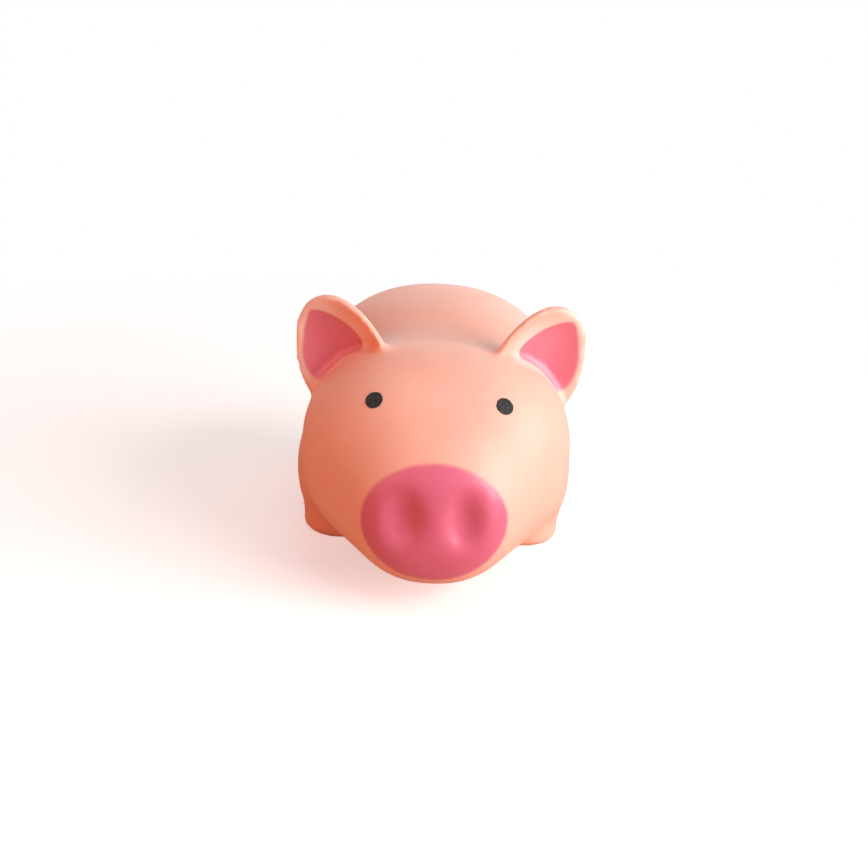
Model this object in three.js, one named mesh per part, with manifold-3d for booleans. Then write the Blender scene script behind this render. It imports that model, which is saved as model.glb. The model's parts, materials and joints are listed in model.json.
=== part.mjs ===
// A rubber pig that squeaks: a pet toy cast in one hollow piece of soft vinyl.
// The skin holds head, snout, ears, legs and tail in one moulding. The snout, the insides of the ears and
// the eyes are paint. A plastic squeaker is pushed into a hole in the belly: a case, a reed core, a thin
// reed that a wedge clamps to the core, and a slotted cap. Air that is squeezed out of the hollow body
// passes the reed, which beats against the core.
// Millimetres. +Z is up, the toy stands on z = 0 and looks along -Y, and its left side is +X.

import * as THREE from 'three';
import { mergeVertices } from 'three/addons/utils/BufferGeometryUtils.js';
import Module from 'manifold-3d';

const wasm = await Module();
wasm.setup();

// Driving sizes of the whole toy
const TOY_LENGTH = 140;
const SKIN_WALL = 2.6;
const GROUND_CLEARANCE = 5;

// Sizes of the body, a barrel with a high back
const BODY_WIDTH = 80;
const BODY_HEIGHT = 67;
const BODY_LENGTH = 90;
const BODY_BLUNTNESS = 2.3;
const BODY_SQUARENESS = 2.2;

// Sizes of the head, a ball in front of the body
const HEAD_WIDTH = 77;
const HEAD_HEIGHT = 62;
const HEAD_LENGTH = 66;
const HEAD_DROP = 2.5;
const HEAD_SETBACK = 39;
const HEAD_BLUNTNESS = 2.1;
const HEAD_SQUARENESS = 2.4;

// Sizes of the muzzle, a short oval barrel with a nearly flat face
const MUZZLE_WIDTH = 44;
const MUZZLE_HEIGHT = 42;
const MUZZLE_LENGTH = 44;
const MUZZLE_DROP = 8.9;
const MUZZLE_BLUNTNESS = 3;
const MUZZLE_SQUARENESS = 2.3;
const NOSTRIL_WIDTH = 8;
const NOSTRIL_HEIGHT = 14;
const NOSTRIL_DEPTH = 3;
const NOSTRIL_SPACING = 16.4;
const NOSTRIL_RAISE = 2.8;

// How softly one form runs into the next
const NECK_BLEND = 9;
const MUZZLE_BLEND = 10;
const HAUNCH_BLEND = 10;
const NOSTRIL_BLEND = 3.5;

// Sizes of a leg: a haunch in the side of the body and a tapering stub with a flared foot
const HAUNCH_WIDTH = 29;
const HAUNCH_LENGTH = 31;
const HAUNCH_HEIGHT = 34;
const HAUNCH_BLUNTNESS = 2.5;
const HAUNCH_BULGE = 2.4;
const HAUNCH_LIFT = 3;
const LEG_SPACING = 56.5;
const LEG_TOP_DIAMETER = 28;
const ANKLE_DIAMETER = 23.5;
const FOOT_DIAMETER = 24.5;
const FOOT_HEIGHT = 3.4;
const SOLE_ROUNDING = 1.4;
const FLARE_SHARE = 0.7;
const LEG_REACH = 14;
const FRONT_LEG_SETBACK = 63;
const HIND_LEG_INSET = 27;

// Sizes of an ear, a cupped leaf
const EAR_WIDTH = 29.7;
const EAR_HEIGHT = 21.6;
const EAR_ROOT_DEPTH = 9;
const EAR_THICKNESS = 3.2;
const EAR_RIM_THICKNESS = 5.6;
const EAR_BLUNTNESS = 1.9;
const EAR_CUP = 6.2;
const EAR_SETBACK = 7;
const EAR_SINK = 2;
const EAR_PLACE_ANGLE = 47;
const EAR_LEAN = 28;
const EAR_TURN = 21;

// Sizes of the tail, a tapering curl of a little over one turn
const TAIL_ROOT_DIAMETER = 6;
const TAIL_TIP_DIAMETER = 3.6;
const TAIL_CURL_DIAMETER = 12;
const TAIL_TURNS = 1.15;
const TAIL_STAND_OFF = 7;
const TAIL_RAISE = 14;

// Sizes of the paint, drawn as films that stand just off the skin
const PAINT_THICKNESS = 0.35;
const SNOUT_PAINT_WIDTH = 38.4;
const SNOUT_PAINT_HEIGHT = 33;
const SNOUT_PAINT_RAISE = 0.9;
const EAR_PAINT_MARGIN = 3;
const EAR_PAINT_DEPTH = 7;
const EAR_PAINT_OFFSET = 2.4;
const EYE_DIAMETER = 4.8;
const EYE_DOME = 0.5;
const EYE_PROFILE_SHARES = [[0, 0], [1, 0], [1, 0.4], [0.75, 0.8], [0, 1]];
const EYE_SPACING = 34.6;
const EYE_RAISE = 20.6;

// Sizes of the squeaker, which start from the hole that it is pushed into
const FIT_GAP = 0.3;
const SEAT_DROP = 0.3;
const SEAT_MARGIN = 2.5;
const HOLE_DIAMETER = 20;
const FLANGE_OVERHANG = 2.5;
const FLANGE_THICKNESS = 1.6;
const LIP_CATCH = 1.4;
const LIP_THICKNESS = 1;
const LIP_TAPER = 2.2;
const CASE_INSET = 0.9;
const CASE_WALL = 1.4;
const CASE_FLOOR = 2;
const CASE_HEIGHT = 21;
const CASE_BEAD = 0.5;
const SOCKET_BORE_SHARE = 0.58;
const SOCKET_WALL = 1.3;
const SOCKET_DEPTH_SHARE = 1 / 3;
const OUTLET_DIAMETER = 4;
const CORE_HEADROOM = 2.6;
const CHANNEL_DIAMETER_SHARE = 0.57;
const CHANNEL_END_WALL = 1.8;
const REED_WIDTH_SHARE = 0.65;
const REED_THICKNESS = 0.3;
const REED_ROOT_SHARE = 0.5;
const REED_TIP_MARGIN = 1;
const REED_REST_ANGLE = 3;
const WEDGE_CHAMFER = 0.8;
const CAP_WALL = 1.2;
const CAP_SKIRT = 5;
const CAP_DOME = 2.2;
const CAP_SHOULDER_SHARES = [0.75, 0.7];
const CAP_SLOT_WIDTH = 1.6;
const CAP_SLOT_COUNT = 6;
const CAP_SLOT_SHARES = [0.35, 0.85];

// How finely each form is divided
const SKIN_RINGS = 50;
const SKIN_SECTORS = 46;
const HOLLOW_RINGS = 24;
const HOLLOW_SECTORS = 24;
const MUZZLE_FINENESS = 2.2;
const SCOUT_STEPS = 300;
const EAR_RINGS = 10;
const EAR_LAST_RING_ANGLE = 83;
const EAR_SECTORS = 22;
const LEG_SECTORS = 20;
const TAIL_RINGS = 26;
const TAIL_SECTORS = 9;
const SNOUT_FILM_RINGS = 10;
const SNOUT_FILM_SECTORS = 32;
const EAR_FILM_RINGS = 5;
const EAR_FILM_SECTORS = 20;
const SQUEAKER_SECTORS = 28;
const BISECTIONS = 26;
const PROBE_STEP = 0.01;
const OVERRUN = 1;
const MERGE_TOLERANCE = 0.001;

// Places that follow from the sizes
const snoutY = -TOY_LENGTH / 2;
const rumpY = TOY_LENGTH / 2 - TAIL_STAND_OFF;
const bodyCentre = new THREE.Vector3(0, rumpY - BODY_LENGTH / 2, GROUND_CLEARANCE + BODY_HEIGHT / 2);
const headCentre = new THREE.Vector3(0, snoutY + HEAD_SETBACK, bodyCentre.z - HEAD_DROP);
const muzzleCentre = new THREE.Vector3(0, snoutY + MUZZLE_LENGTH / 2, headCentre.z - MUZZLE_DROP);
const frontLegY = snoutY + FRONT_LEG_SETBACK;
const hindLegY = rumpY - HIND_LEG_INSET;
const legCentres = [frontLegY, hindLegY].flatMap((y) => [1, -1].map((side) => (
  { x: (side * LEG_SPACING) / 2, y }
)));

const haunchMiddle = HAUNCH_LIFT + HAUNCH_HEIGHT / 2;

const degrees = (angle) => THREE.MathUtils.degToRad(angle);

// Forms of the trunk, as distances from a point to the surface of an egg that lies along Y
// With a bluntness of 2 its ends are round, and with a squareness of 2 its cross-section is. Both are
// powers, and more makes it boxier. The distance is exact on the surface and close to exact near it.
function eggDistance(point, { centre, size, bluntness, squareness }) {
  const [x, y, z] = ['x', 'y', 'z'].map((axis) => Math.abs(point[axis] - centre[axis]) / (size[axis] / 2));
  const across = (x ** squareness + z ** squareness) ** (1 / squareness);
  const reach = (across ** bluntness + y ** bluntness) ** (1 / bluntness);
  const slopeAcross = (across / reach) ** (bluntness - 1);
  const slope = Math.hypot(
    (slopeAcross * (x / across || 0) ** (squareness - 1)) / (size.x / 2),
    ((y / reach) ** (bluntness - 1)) / (size.y / 2),
    (slopeAcross * (z / across || 0) ** (squareness - 1)) / (size.z / 2),
  );
  return (reach - 1) / slope;
}

// The nearer of two distances, rounded where they are about equal. A negative softness hollows instead.
function blend(first, second, softness) {
  const overlap = Math.max(softness - Math.abs(first - second), 0) / softness;
  return Math.min(first, second) - (overlap * overlap * softness) / 4;
}

const egg = (centre, sizes, bluntness, squareness = bluntness) => (
  { centre, size: new THREE.Vector3(...sizes), bluntness, squareness }
);
const body = egg(bodyCentre, [BODY_WIDTH, BODY_LENGTH, BODY_HEIGHT], BODY_BLUNTNESS, BODY_SQUARENESS);
const head = egg(headCentre, [HEAD_WIDTH, HEAD_LENGTH, HEAD_HEIGHT], HEAD_BLUNTNESS, HEAD_SQUARENESS);
const muzzle = egg(
  muzzleCentre,
  [MUZZLE_WIDTH, MUZZLE_LENGTH, MUZZLE_HEIGHT],
  MUZZLE_BLUNTNESS,
  MUZZLE_SQUARENESS,
);
const haunches = legCentres.map(({ x, y }) => egg(
  new THREE.Vector3(Math.sign(x) * (BODY_WIDTH / 2 + HAUNCH_BULGE - HAUNCH_WIDTH / 2), y, haunchMiddle),
  [HAUNCH_WIDTH, HAUNCH_LENGTH, HAUNCH_HEIGHT],
  HAUNCH_BLUNTNESS,
));
const nostrils = [1, -1].map((side) => egg(
  new THREE.Vector3((side * NOSTRIL_SPACING) / 2, snoutY, muzzleCentre.z + NOSTRIL_RAISE),
  [NOSTRIL_WIDTH, NOSTRIL_DEPTH * 2, NOSTRIL_HEIGHT],
  2,
));

// Distance from a point to the trunk: body, head, muzzle and haunches run together, less the nostrils.
function trunkDistance(point) {
  let distance = blend(eggDistance(point, body), eggDistance(point, head), NECK_BLEND);
  distance = blend(distance, eggDistance(point, muzzle), MUZZLE_BLEND);
  for (const haunch of haunches) distance = blend(distance, eggDistance(point, haunch), HAUNCH_BLEND);
  for (const nostril of nostrils) distance = -blend(-distance, eggDistance(point, nostril), NOSTRIL_BLEND);
  return distance;
}

// Point where a ray that starts inside the trunk comes out of it, or crosses a level above or below its skin
function skinPoint(start, direction, level = 0) {
  let inside = 0;
  let outside = TOY_LENGTH;
  for (let i = 0; i < BISECTIONS; i += 1) {
    const middle = (inside + outside) / 2;
    const point = start.clone().addScaledVector(direction, middle);
    if (trunkDistance(point) < level) inside = middle;
    else outside = middle;
  }
  return start.clone().addScaledVector(direction, inside);
}

// Outward direction of the trunk's skin at a point
function skinNormal(point) {
  const change = (axis) => {
    const ahead = point.clone();
    const behind = point.clone();
    ahead[axis] += PROBE_STEP;
    behind[axis] -= PROBE_STEP;
    return trunkDistance(ahead) - trunkDistance(behind);
  };
  return new THREE.Vector3(change('x'), change('y'), change('z')).normalize();
}

// Point of the skin straight ahead of a place in the trunk, seen from the front
function faceProbe(x, z) {
  return skinPoint(new THREE.Vector3(x, headCentre.y, z), new THREE.Vector3(0, -1, 0));
}

// Surfaces made of rings
// A closed surface through rings of points, all with as many points. Its ends close on two given points.
// The four-sided cells are halved one way on the first half of the sectors and the other way on the rest,
// so a form that is its own mirror image stays so.
function ringedSurface(rings, firstEnd, lastEnd) {
  const count = rings[0].length;
  const points = [firstEnd, ...rings.flat(), lastEnd];
  const at = (ring, sector) => 1 + ring * count + (sector % count);
  const triangles = [];
  for (let sector = 0; sector < count; sector += 1) {
    triangles.push(0, at(0, sector + 1), at(0, sector));
    for (let ring = 0; ring < rings.length - 1; ring += 1) {
      const [a, b] = [at(ring, sector), at(ring, sector + 1)];
      const [c, d] = [at(ring + 1, sector), at(ring + 1, sector + 1)];
      if (sector < count / 2) triangles.push(a, b, c, b, d, c);
      else triangles.push(a, b, d, a, d, c);
    }
    triangles.push(at(rings.length - 1, sector), at(rings.length - 1, sector + 1), points.length - 1);
  }
  const geometry = new THREE.BufferGeometry().setFromPoints(points);
  geometry.setIndex(triangles);
  return geometry;
}

// A geometry as a solid that can be joined and cut. One that was wound inside out is turned.
function solidOf(geometry) {
  const bare = new THREE.BufferGeometry().setAttribute('position', geometry.getAttribute('position'));
  bare.setIndex(geometry.getIndex());
  const merged = mergeVertices(bare, MERGE_TOLERANCE);
  const make = (triVerts) => new wasm.Manifold(
    new wasm.Mesh({ numProp: 3, vertProperties: merged.getAttribute('position').array, triVerts }),
  );
  const corners = new Uint32Array(merged.getIndex().array);
  const solid = make(corners);
  return solid.volume() > 0 ? solid : make(corners.reverse());
}

// A solid back as a geometry with flat faces
function geometryOf(solid) {
  const { numProp, vertProperties, triVerts } = solid.getMesh();
  const positions = new Float32Array((vertProperties.length / numProp) * 3);
  for (let i = 0; i < positions.length / 3; i += 1) {
    positions.set(vertProperties.subarray(i * numProp, i * numProp + 3), i * 3);
  }
  const indexed = new THREE.BufferGeometry();
  indexed.setAttribute('position', new THREE.BufferAttribute(positions, 3));
  indexed.setIndex(new THREE.BufferAttribute(triVerts, 1));
  const flat = indexed.toNonIndexed();
  flat.computeVertexNormals();
  return flat;
}

// A solid turned round a vertical axis, from a profile of [radius, height] pairs
function turned(profile, sectors, x = 0, y = 0, z = 0) {
  const points = profile.map(([radius, height]) => new THREE.Vector2(radius, height));
  const geometry = new THREE.LatheGeometry(points, sectors);
  geometry.rotateX(Math.PI / 2);
  geometry.translate(x, y, z);
  return solidOf(geometry);
}

// A plain round bar between two heights
function bar(diameter, low, high, sectors, x = 0, y = 0) {
  return turned([[0, low], [diameter / 2, low], [diameter / 2, high], [0, high]], sectors, x, y);
}

// The trunk of the skin
// Rays leave a spine inside the toy: forwards at a share of 0, sideways in the middle, backwards at 1.
const spineFront = new THREE.Vector3(0, muzzleCentre.y, muzzleCentre.z);
const spineRear = new THREE.Vector3(0, rumpY - BODY_HEIGHT / 2, bodyCentre.z);
const spineShares = [0.1, 0.85];

function trunkRay(share, turn) {
  const start = spineFront.clone().lerp(spineRear, THREE.MathUtils.smoothstep(share, ...spineShares));
  const tilt = Math.PI * share;
  const direction = new THREE.Vector3(
    Math.sin(tilt) * Math.sin(turn),
    -Math.cos(tilt),
    Math.sin(tilt) * Math.cos(turn),
  );
  return { start, direction };
}

// Shares that put the rings at even steps along the skin, as measured along its top and its side. On the
// muzzle the steps are finer.
function evenShares(rings) {
  const walked = [0];
  let before = [];
  for (let i = 0; i <= SCOUT_STEPS; i += 1) {
    const now = [0, Math.PI / 2].map((turn) => {
      const { start, direction } = trunkRay(i / SCOUT_STEPS, turn);
      return skinPoint(start, direction);
    });
    const fineness = now[0].y < muzzleCentre.y ? MUZZLE_FINENESS : 1;
    if (i > 0) {
      const step = now[0].distanceTo(before[0]) + now[1].distanceTo(before[1]);
      walked.push(walked[i - 1] + fineness * step);
    }
    before = now;
  }
  const total = walked[SCOUT_STEPS];
  return Array.from({ length: rings }, (_, ring) => {
    const goal = (total * (ring + 1)) / (rings + 1);
    const next = walked.findIndex((length) => length >= goal);
    const part = (goal - walked[next - 1]) / (walked[next] - walked[next - 1]);
    return (next - 1 + part) / SCOUT_STEPS;
  });
}

function trunkSolid(rings, sectors, level) {
  const pointAt = (share, turn) => {
    const { start, direction } = trunkRay(share, turn);
    return skinPoint(start, direction, level);
  };
  const circles = evenShares(rings).map((share) => Array.from(
    { length: sectors },
    (_, sector) => pointAt(share, (2 * Math.PI * sector) / sectors),
  ));
  return solidOf(ringedSurface(circles, pointAt(0, 0), pointAt(1, 0)));
}

// An ear
// Its root is on the head, and its own axes are along its width, up to its tip and out of its cup.
function earFrame(side) {
  const place = degrees(EAR_PLACE_ANGLE);
  const direction = new THREE.Vector3(side * Math.sin(place), 0, Math.cos(place));
  const inside = new THREE.Vector3(0, headCentre.y + EAR_SETBACK, headCentre.z);
  const lean = degrees(EAR_LEAN);
  const up = new THREE.Vector3(side * Math.sin(lean), 0, Math.cos(lean));
  const out = new THREE.Vector3(0, -1, 0).applyAxisAngle(up, side * degrees(EAR_TURN));
  const across = new THREE.Vector3().crossVectors(up, out);
  return { root: skinPoint(inside, direction).addScaledVector(direction, -EAR_SINK), up, out, across };
}

// Half of the ear's width at a height above its root
function earHalfWidth(height) {
  const share = Math.max(height, 0) / EAR_HEIGHT;
  return (EAR_WIDTH / 2) * Math.sqrt(1 - share ** EAR_BLUNTNESS);
}

// Place on the middle layer of the ear. Its sides and its tip curl out towards the front.
function earMiddle({ root, up, out, across }, width, height) {
  const sideways = (width / (EAR_WIDTH / 2)) ** 2;
  const upwards = (Math.max(height, 0) / EAR_HEIGHT) ** 3;
  return root.clone()
    .addScaledVector(across, width)
    .addScaledVector(up, height)
    .addScaledVector(out, EAR_CUP * (sideways + upwards / 2));
}

// Half of the ear's thickness: thin in the cup, thick at the rim, rounded off at the very tip
function earHalfThickness(widthShare, height) {
  const heightShare = Math.max(height, 0) / EAR_HEIGHT;
  const rimShare = Math.max(Math.abs(widthShare) ** 4, heightShare ** 6);
  const thickness = THREE.MathUtils.lerp(EAR_THICKNESS, EAR_RIM_THICKNESS, rimShare);
  return (thickness / 2) * Math.sqrt(1 - heightShare ** 16);
}

function earSolid(side) {
  const frame = earFrame(side);
  const rootHeights = [-EAR_ROOT_DEPTH, -EAR_ROOT_DEPTH / 2];
  const leafHeights = Array.from(
    { length: EAR_RINGS },
    (_, i) => EAR_HEIGHT * Math.sin(degrees(EAR_LAST_RING_ANGLE) * (i / (EAR_RINGS - 1))),
  );
  const rings = [...rootHeights, ...leafHeights].map((height) => Array.from(
    { length: EAR_SECTORS },
    (_, sector) => {
      const turn = (2 * Math.PI * sector) / EAR_SECTORS;
      const widthShare = Math.sign(Math.cos(turn)) * Math.abs(Math.cos(turn)) ** 0.8;
      const layerShare = Math.sign(Math.sin(turn)) * Math.abs(Math.sin(turn)) ** 0.6;
      return earMiddle(frame, earHalfWidth(height) * widthShare, height)
        .addScaledVector(frame.out, layerShare * earHalfThickness(widthShare, height));
    },
  ));
  return solidOf(ringedSurface(
    rings,
    earMiddle(frame, 0, -EAR_ROOT_DEPTH),
    earMiddle(frame, 0, EAR_HEIGHT),
  ));
}

// A leg: a stub that reaches up into the haunch, with a flared foot and a flat sole
function legSolid({ x, y }) {
  const foot = FOOT_DIAMETER / 2;
  const ankle = ANKLE_DIAMETER / 2;
  const corner = SOLE_ROUNDING * (1 - Math.SQRT1_2);
  const flare = THREE.MathUtils.lerp(ankle, foot, FLARE_SHARE);
  return turned([
    [0, 0],
    [foot - SOLE_ROUNDING, 0],
    [foot - corner, corner],
    [foot, SOLE_ROUNDING],
    [flare, FOOT_HEIGHT * FLARE_SHARE],
    [ankle, FOOT_HEIGHT],
    [LEG_TOP_DIAMETER / 2, GROUND_CLEARANCE + LEG_REACH],
    [0, GROUND_CLEARANCE + LEG_REACH],
  ], LEG_SECTORS, x, y);
}

// The tail: a tapering tube that curls round the Y axis as it leaves the rump
function tailSolid() {
  const rootPoint = skinPoint(
    new THREE.Vector3(0, bodyCentre.y, bodyCentre.z + TAIL_RAISE),
    new THREE.Vector3(0, 1, 0),
  );
  const curl = TAIL_CURL_DIAMETER / 2 - TAIL_ROOT_DIAMETER / 2;
  const startY = rootPoint.y - TAIL_ROOT_DIAMETER / 2;
  const rise = TOY_LENGTH / 2 - TAIL_TIP_DIAMETER / 2 - startY;
  const centreAt = (share) => {
    const turn = 2 * Math.PI * TAIL_TURNS * share;
    return new THREE.Vector3(
      curl * Math.sin(turn),
      startY + rise * share,
      rootPoint.z - curl * Math.cos(turn),
    );
  };
  const rings = Array.from({ length: TAIL_RINGS }, (_, i) => {
    const share = i / (TAIL_RINGS - 1);
    const along = centreAt(share + MERGE_TOLERANCE).sub(centreAt(share - MERGE_TOLERANCE)).normalize();
    const outward = centreAt(share).setY(0).sub(new THREE.Vector3(0, 0, rootPoint.z)).normalize();
    const sideways = new THREE.Vector3().crossVectors(along, outward).normalize();
    const square = new THREE.Vector3().crossVectors(sideways, along);
    const radius = THREE.MathUtils.lerp(TAIL_ROOT_DIAMETER, TAIL_TIP_DIAMETER, share) / 2;
    return Array.from({ length: TAIL_SECTORS }, (_, sector) => {
      const turn = (2 * Math.PI * sector) / TAIL_SECTORS;
      return centreAt(share)
        .addScaledVector(square, radius * Math.cos(turn))
        .addScaledVector(sideways, radius * Math.sin(turn));
    });
  });
  return solidOf(ringedSurface(rings, centreAt(0), centreAt(1)));
}

// The seat of the squeaker: a flat round boss under the belly with a hole through the wall
const seat = new THREE.Vector3(0, (frontLegY + hindLegY) / 2, 0);
const bellyPoint = skinPoint(new THREE.Vector3(seat.x, seat.y, bodyCentre.z), new THREE.Vector3(0, 0, -1));
seat.z = bellyPoint.z - SEAT_DROP;

const seatDiameter = HOLE_DIAMETER + (FLANGE_OVERHANG + SEAT_MARGIN) * 2;

function skinSolid() {
  const atSeat = (diameter, low) => bar(diameter, low, bodyCentre.z, SQUEAKER_SECTORS, seat.x, seat.y);
  let skin = trunkSolid(SKIN_RINGS, SKIN_SECTORS, 0).add(atSeat(seatDiameter, seat.z));
  for (const side of [1, -1]) skin = skin.add(earSolid(side));
  for (const centre of legCentres) skin = skin.add(legSolid(centre));
  skin = skin.add(tailSolid());
  let hollow = trunkSolid(HOLLOW_RINGS, HOLLOW_SECTORS, -SKIN_WALL);
  for (const { x, y } of legCentres) {
    hollow = hollow.add(bar(ANKLE_DIAMETER - SKIN_WALL * 2, SKIN_WALL, haunchMiddle, LEG_SECTORS / 2, x, y));
  }
  const seatRoom = atSeat(seatDiameter - SKIN_WALL * 2, seat.z + SKIN_WALL);
  const hole = atSeat(HOLE_DIAMETER, seat.z - OVERRUN);
  return skin.subtract(hollow.add(seatRoom)).subtract(hole);
}

// Paint
// A film between two layers above a surface. The surface gives a point and its outward direction for a
// distance share from the middle of the film, from 0 to 1, and a turn round it.
function film(surface, ringCount, sectorCount) {
  const layer = (share, turn, height) => {
    const { point, normal } = surface(share, turn);
    return point.clone().addScaledVector(normal, height);
  };
  const shares = Array.from({ length: ringCount }, (_, i) => (i + 1) / ringCount);
  const ringsAt = (height) => shares.map((share) => Array.from(
    { length: sectorCount },
    (_, sector) => layer(share, (2 * Math.PI * sector) / sectorCount, height),
  ));
  const top = ringsAt(FIT_GAP + PAINT_THICKNESS);
  const bottom = ringsAt(FIT_GAP).reverse();
  return solidOf(ringedSurface(
    [...top, ...bottom],
    layer(0, 0, FIT_GAP + PAINT_THICKNESS),
    layer(0, 0, FIT_GAP),
  ));
}

function snoutPaint() {
  return film((share, turn) => {
    const point = faceProbe(
      (SNOUT_PAINT_WIDTH / 2) * share * Math.sin(turn),
      muzzleCentre.z + SNOUT_PAINT_RAISE + (SNOUT_PAINT_HEIGHT / 2) * share * Math.cos(turn),
    );
    return { point, normal: skinNormal(point) };
  }, SNOUT_FILM_RINGS, SNOUT_FILM_SECTORS);
}

function earPaint(side) {
  const frame = earFrame(side);
  const top = EAR_HEIGHT - EAR_PAINT_MARGIN;
  const cup = film((share, turn) => {
    const height = (top - EAR_PAINT_DEPTH) / 2 + ((top + EAR_PAINT_DEPTH) / 2) * share * Math.cos(turn);
    const reach = earHalfWidth(height) - EAR_PAINT_MARGIN - EAR_PAINT_OFFSET;
    const width = side * EAR_PAINT_OFFSET + reach * share * Math.sin(turn);
    const layer = (w, h) => earMiddle(frame, w, h)
      .addScaledVector(frame.out, earHalfThickness(w / earHalfWidth(h), h));
    const point = layer(width, height);
    const alongWidth = layer(width + MERGE_TOLERANCE, height).sub(point);
    const alongHeight = layer(width, height + MERGE_TOLERANCE).sub(point);
    const normal = new THREE.Vector3().crossVectors(alongWidth, alongHeight).normalize();
    if (normal.dot(frame.out) < 0) normal.negate();
    return { point, normal };
  }, EAR_FILM_RINGS, EAR_FILM_SECTORS);
  return cup.subtract(trunkSolid(HOLLOW_RINGS * 2, HOLLOW_SECTORS * 2, FIT_GAP));
}

function eyePaint(side) {
  const point = faceProbe((side * EYE_SPACING) / 2, headCentre.z + EYE_RAISE);
  const profile = EYE_PROFILE_SHARES.map(([radiusShare, heightShare]) => (
    new THREE.Vector2((radiusShare * EYE_DIAMETER) / 2, heightShare * EYE_DOME)
  ));
  const geometry = new THREE.LatheGeometry(profile, LEG_SECTORS);
  const normal = skinNormal(point);
  geometry.applyQuaternion(new THREE.Quaternion().setFromUnitVectors(new THREE.Vector3(0, 1, 0), normal));
  const place = point.clone().addScaledVector(normal, FIT_GAP);
  geometry.translate(place.x, place.y, place.z);
  return solidOf(geometry);
}

// The squeaker. Heights are above the seat, and it stands on its axis through the middle of the seat.
const neckRadius = HOLE_DIAMETER / 2 - FIT_GAP;
const caseRadius = neckRadius - CASE_INSET;
const caseBore = (caseRadius - CASE_WALL) * 2;
const socketBore = caseBore * SOCKET_BORE_SHARE;
const reedWidth = socketBore * REED_WIDTH_SHARE;
const flangeLow = -FIT_GAP - FLANGE_THICKNESS;
const floorTop = flangeLow + CASE_FLOOR;
const caseTop = floorTop + CASE_HEIGHT;
const socketTop = floorTop + CASE_HEIGHT * SOCKET_DEPTH_SHARE;
const coreLow = floorTop + FIT_GAP;
const coreTop = caseTop - CORE_HEADROOM;
const reedTop = coreTop - CHANNEL_END_WALL + REED_TIP_MARGIN;
const beadMiddle = caseTop - CAP_SKIRT / 2;
const seatTurned = (profile) => turned(profile, SQUEAKER_SECTORS, seat.x, seat.y, seat.z);

function squeakerCase() {
  const flange = HOLE_DIAMETER / 2 + FLANGE_OVERHANG;
  const lip = HOLE_DIAMETER / 2 + LIP_CATCH;
  const lipLow = SKIN_WALL + FIT_GAP;
  const socket = socketBore / 2;
  return seatTurned([
    [OUTLET_DIAMETER / 2, flangeLow],
    [flange - FLANGE_THICKNESS / 2, flangeLow],
    [flange, flangeLow + FLANGE_THICKNESS / 2],
    [flange, -FIT_GAP],
    [neckRadius, -FIT_GAP],
    [neckRadius, lipLow],
    [lip, lipLow],
    [lip, lipLow + LIP_THICKNESS],
    [caseRadius, lipLow + LIP_THICKNESS + LIP_TAPER],
    [caseRadius, beadMiddle - CASE_BEAD],
    [caseRadius + CASE_BEAD, beadMiddle],
    [caseRadius, beadMiddle + CASE_BEAD],
    [caseRadius, caseTop],
    [caseBore / 2, caseTop],
    [caseBore / 2, floorTop],
    [socket + SOCKET_WALL, floorTop],
    [socket + SOCKET_WALL, socketTop],
    [socket, socketTop],
    [socket, floorTop],
    [OUTLET_DIAMETER / 2, floorTop],
    [OUTLET_DIAMETER / 2, flangeLow],
  ]);
}

function squeakerCap() {
  const inner = caseRadius + FIT_GAP;
  const outer = inner + CAP_WALL;
  const low = caseTop - CAP_SKIRT;
  const ceiling = caseTop + FIT_GAP;
  const [shoulderShare, riseShare] = CAP_SHOULDER_SHARES;
  const shoulderHeight = ceiling + CAP_DOME * riseShare;
  let cap = seatTurned([
    [inner, low],
    [outer, low],
    [outer, ceiling],
    [outer * shoulderShare, shoulderHeight],
    [0, ceiling + CAP_DOME],
    [0, ceiling + CAP_DOME - CAP_WALL],
    [inner * shoulderShare, shoulderHeight - CAP_WALL],
    [caseBore / 2, ceiling],
    [inner, ceiling],
    [inner, beadMiddle + CASE_BEAD + FIT_GAP / 2],
    [inner + CASE_BEAD, beadMiddle],
    [inner, beadMiddle - CASE_BEAD - FIT_GAP / 2],
    [inner, low],
  ]);
  const [slotStart, slotEnd] = CAP_SLOT_SHARES.map((share) => (share * caseBore) / 2);
  for (let i = 0; i < CAP_SLOT_COUNT; i += 1) {
    const slot = new THREE.BoxGeometry(slotEnd - slotStart, CAP_SLOT_WIDTH, (CAP_DOME + CAP_WALL) * 2);
    slot.translate((slotStart + slotEnd) / 2, 0, 0);
    slot.rotateZ((2 * Math.PI * i) / CAP_SLOT_COUNT);
    slot.translate(seat.x, seat.y, seat.z + ceiling);
    cap = cap.subtract(solidOf(slot));
  }
  return cap;
}

// Half of a round bar, on one side of the reed, with a gap to the reed's clamped root
const faceOffset = REED_THICKNESS / 2 + FIT_GAP;

function halfBar(side, high) {
  const round = bar(
    socketBore - FIT_GAP * 2,
    seat.z + coreLow,
    seat.z + high,
    SQUEAKER_SECTORS,
    seat.x,
    seat.y,
  );
  const cut = new THREE.BoxGeometry(socketBore * 2, socketBore * 2, (high - coreLow) * 2);
  cut.translate(seat.x, seat.y - side * (socketBore - faceOffset), seat.z + (coreLow + high) / 2);
  return round.subtract(solidOf(cut));
}

function reedCore() {
  const channel = bar(
    reedWidth * CHANNEL_DIAMETER_SHARE,
    seat.z + coreLow - OVERRUN,
    seat.z + coreTop - CHANNEL_END_WALL,
    SQUEAKER_SECTORS / 2,
    seat.x,
    seat.y - faceOffset,
  );
  return halfBar(-1, coreTop).subtract(channel);
}

function reedWedge() {
  const tool = new THREE.BoxGeometry(socketBore * 2, WEDGE_CHAMFER * 2, WEDGE_CHAMFER * 2);
  tool.rotateX(Math.PI / 4);
  tool.translate(seat.x, seat.y + faceOffset, seat.z + coreLow);
  return halfBar(1, socketTop).subtract(solidOf(tool));
}

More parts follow.
